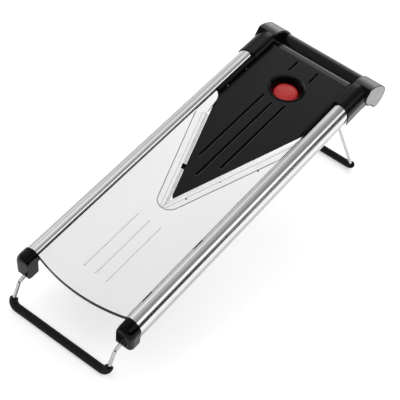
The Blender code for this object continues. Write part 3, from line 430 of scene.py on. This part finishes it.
def notch_outline():
    """The notch's four corners, in the deck's XY."""
    along = Vector((-math.sin(NOTCH_SLOPE), math.cos(NOTCH_SLOPE)))
    out = Vector((-math.cos(NOTCH_SLOPE), -math.sin(NOTCH_SLOPE)))
    (near, far), (inner, outer) = NOTCH_ALONG, NOTCH_OUT
    corners = ((near, inner), (far, inner), (far, outer), (near, outer))
    point = Vector((0, HOLDER_POINT_Y))
    return [tuple(point + along * distance + out * offset) for distance, offset in corners]


def add_recesses():
    """Dark cups as painted shade in the blade holder's three blind holes and in the notch."""
    finish = shade_finish()
    for number, (x, y, low) in enumerate(HOLES, 1):
        outline = arc((x, y), HOLE_RADIUS, [math.tau * i / 20 for i in range(20)])
        deck_cup(f"hole_shade_{number}", outline, low, HOLE_TOP, finish)
    deck_cup("notch_shade", notch_outline(), NOTCH_FLOOR, NOTCH_TOP, finish)


def bead(name, points, radius, finish, place=DECK, body="frame"):
    """A thin round bead along points in the frame given by place."""
    curve = bpy.data.curves.new(name, "CURVE")
    curve.dimensions = "3D"
    curve.bevel_depth = radius
    curve.bevel_resolution = 2
    curve.use_fill_caps = True
    line = curve.splines.new("POLY")
    line.points.add(len(points) - 1)
    for point, spot in zip(line.points, points):
        point.co = (*spot, 1)
    curve.materials.append(finish.material)
    strand = bpy.data.objects.new(name, curve)
    bpy.context.scene.collection.objects.link(strand)
    strand.matrix_world = place
    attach(strand, body)


def seam_points():
    """The middle of the narrow gap round the blade holder: two straight sides and a round point."""
    turns = [-SEAM_SLOPE - (math.pi - 2 * SEAM_SLOPE) * i / 16 for i in range(17)]
    point = arc((0, HOLDER_POINT_Y), SEAM_POINT_RADIUS, turns)
    run = SEAM_END_X / math.tan(SEAM_SLOPE) - SEAM_POINT_RADIUS / math.sin(SEAM_SLOPE)
    end_y = HOLDER_POINT_Y + run
    line = [(SEAM_END_X, end_y)] + point + [(-SEAM_END_X, end_y)]
    return [(x, y, SEAM_HEIGHT) for x, y in line]


def add_gap_shades():
    """Dark beads as painted shade in the gaps: round the blade holder, and between the landing plate
    and each rail.
    """
    finish = shade_finish()
    bead("seam_shade", seam_points(), SEAM_SHADE_RADIUS, finish)
    for side, label in ((-1, "left"), (1, "right")):
        ends = [(side * EDGE_SHADE_X, y, EDGE_SHADE_HEIGHT) for y in EDGE_SHADE_Y]
        bead(f"{label}_edge_shade", ends, EDGE_SHADE_RADIUS, finish)


def add_lip_highlights():
    """Lighter beads round the front end and along the right side of each groove: a painted highlight
    on the lips.
    """
    # Painted highlight: beads much lighter than the plate, on the lit side of each groove
    finish = moulded_plastic("lip_highlight", (0.07, 0.07, 0.073), 0.25, 1500, 0.00001)
    turns = [math.radians(-120 + 15 * i) for i in range(9)]
    for number, (x, start, end, half) in enumerate(GROOVES, 1):
        reach = half + LIP_OFFSET
        line = arc((x, start + half), reach, turns) + [(x + reach, end - half)]
        points = [(*spot, 0) for spot in line]
        bead(f"lip_highlight_{number}", points, LIP_RADIUS, finish, FEED, "feed")


# ---------------------------------------------------------------- floor, light, camera


def add_floor():
    mesh = bpy.data.meshes.new("floor")
    corners = [(x * FLOOR_HALF, y * FLOOR_HALF, 0) for x, y in ((-1, -1), (1, -1), (1, 1), (-1, 1))]
    mesh.from_pydata(corners, [], [(0, 1, 2, 3)])
    floor = bpy.data.objects.new("floor", mesh)
    bpy.context.scene.collection.objects.link(floor)
    finish = Finish("floor_white", (0.93, 0.93, 0.93), 0.85)
    cloud = finish.noise((3, 3, 3), detail=2)
    finish.color(finish.remap(cloud, 0, 1), (0.925, 0.925, 0.925), (0.935, 0.935, 0.935))
    finish.set("Specular IOR Level", 0.0)
    finish.set("Emission Color", (1, 1, 1, 1))
    finish.set("Emission Strength", FLOOR_GLOW)
    mesh.materials.append(finish.material)


def add_area(name, place, target, size, power):
    light = bpy.data.lights.new(name, "AREA")
    light.shape = "RECTANGLE"
    light.size, light.size_y = size
    light.energy = power
    lamp = bpy.data.objects.new(name, light)
    lamp.location = place
    aim = Vector(target) - Vector(place)
    lamp.rotation_euler = aim.to_track_quat("-Z", "Y").to_euler()
    bpy.context.scene.collection.objects.link(lamp)


class Sky:
    """The studio round the object: a brightness for each direction, built from soft masks."""

    def __init__(self):
        world = bpy.data.worlds.new("studio")
        bpy.context.scene.world = world
        world.use_nodes = True
        self.tree = world.node_tree
        source = self.tree.nodes.new("ShaderNodeTexCoord").outputs["Generated"]
        split = self.tree.nodes.new("ShaderNodeSeparateXYZ")
        self.tree.links.new(source, split.inputs[0])
        self.axes = tuple(split.outputs)

    def calculate(self, operation, first, second):
        node = self.tree.nodes.new("ShaderNodeMath")
        node.operation = operation
        for socket, value in zip(node.inputs, (first, second)):
            if isinstance(value, (int, float)):
                socket.default_value = value
            else:
                self.tree.links.new(value, socket)
        return node.outputs[0]

    def product(self, first, second):
        return self.calculate("MULTIPLY", first, second)

    def total(self, first, second):
        return self.calculate("ADD", first, second)

    def less(self, mask):
        """One minus the mask."""
        return self.calculate("SUBTRACT", 1.0, mask)

    def step(self, value, low, high, start=0.0, end=1.0):
        """start up to low and end from high on, with a smooth step between them."""
        node = self.tree.nodes.new("ShaderNodeMapRange")
        node.interpolation_type = "SMOOTHSTEP"
        for socket, number in zip(list(node.inputs)[1:5], (low, high, start, end)):
            socket.default_value = number
        self.tree.links.new(value, node.inputs[0])
        return node.outputs[0]

    def below(self, value, low, high):
        """1 up to low and 0 from high on."""
        return self.step(value, low, high, 1.0, 0.0)

    def window(self, value, low, high, soft):
        """1 between low and high, falling to 0 within soft on each side."""
        return self.product(self.step(value, low - soft, low), self.below(value, high, high + soft))

    def dim(self, level, mask, share):
        """The level, less the given share of it where mask is 1."""
        return self.product(level, self.less(self.product(mask, share)))

    def glow(self, level, mask, gain):
        """The level, with gain added where mask is 1."""
        return self.total(level, self.product(mask, gain))

    def use(self, level):
        background = self.tree.nodes["Background"]
        self.tree.links.new(level, background.inputs["Strength"])
        background.inputs["Color"].default_value = (1, 1, 1, 1)


def ceiling(sky, x, y):
    """Brightest on the left, greyer to the right and rear, with a grey band far to the left."""
    level = sky.step(x, -0.50, -0.28, 1.06, 0.98)
    level = sky.dim(level, sky.step(x, -0.30, -0.19), 0.48)
    level = sky.dim(level, sky.step(x, -0.12, 0.45), 0.50)
    level = sky.product(level, sky.step(y, 0.18, 0.42, 1.05, 0.88))
    return sky.dim(level, sky.window(x, -0.70, -0.55, 0.06), 0.38)


def right_side(sky, level, x, y, z):
    """A white card up on the right over a black flag, which two slanted slits cross."""
    card = sky.product(sky.step(x, 0.51, 0.56), sky.step(z, 0.47, 0.53))
    level = sky.glow(level, card, 1.1)
    slant = sky.total(z, sky.product(y, 2.64))
    slits = sky.total(sky.window(slant, 1.51, 1.55, 0.01), sky.window(slant, 1.64, 1.68, 0.01))
    level = sky.glow(level, sky.product(slits, sky.step(x, 0.6, 0.7)), 0.5)
    flag = sky.product(sky.step(x, 0.55, 0.65), sky.below(z, 0.46, 0.52))
    return sky.dim(level, sky.product(flag, sky.less(slits)), 0.95)


def low_sides(sky, level, x, y, z):
    """A grey wall low on the left, a bright wall and a strip at the rear, and a dark front."""
    wall = sky.product(sky.below(x, -0.85, -0.72), sky.below(z, 0.3, 0.5))
    level = sky.dim(level, wall, 0.38)
    rear = sky.product(sky.step(y, 0.78, 0.9), sky.window(z, 0.06, 0.6, 0.08))
    level = sky.glow(level, rear, 2.6)
    strip = sky.product(sky.window(y, 0.55, 0.70, 0.07), sky.window(x, -0.45, -0.2, 0.06))
    level = sky.glow(level, strip, 2.6)
    front = sky.product(sky.below(y, -0.75, -0.5), sky.below(z, 0.35, 0.6))
    return sky.dim(level, front, 0.7)


def add_lights():
    """The studio sky by direction: X right, Y to the rear and Z up, each from -1 to 1."""
    sky = Sky()
    x, y, z = sky.axes
    level = right_side(sky, ceiling(sky, x, y), x, y, z)
    sky.use(low_sides(sky, level, x, y, z))
    add_area("fill_front", (0.5, -1.6, 1.2), (0, 0, 0.08), (1.2, 0.8), 1.5)
    bpy.context.scene.view_settings.view_transform = "Standard"


def add_camera():
    camera = bpy.data.cameras.new("camera")
    camera.sensor_width = SENSOR_WIDTH
    camera.lens = CAMERA_LENS
    camera.clip_start = 0.01
    holder = bpy.data.objects.new("camera", camera)
    forward = Vector(CAMERA_FORWARD)
    right = forward.cross(Vector(CAMERA_UP)).normalized()
    up = right.cross(forward).normalized()
    turn = Matrix((right, up, -forward.normalized())).transposed().to_4x4()
    holder.matrix_world = DECK @ Matrix.Translation(CAMERA_PLACE) @ turn
    bpy.context.scene.collection.objects.link(holder)
    bpy.context.scene.camera = holder


add_camera()
paint_steel()
paint_plastic()
soften_all()
add_recesses()
add_gap_shades()
add_lip_highlights()
add_floor()
add_lights()
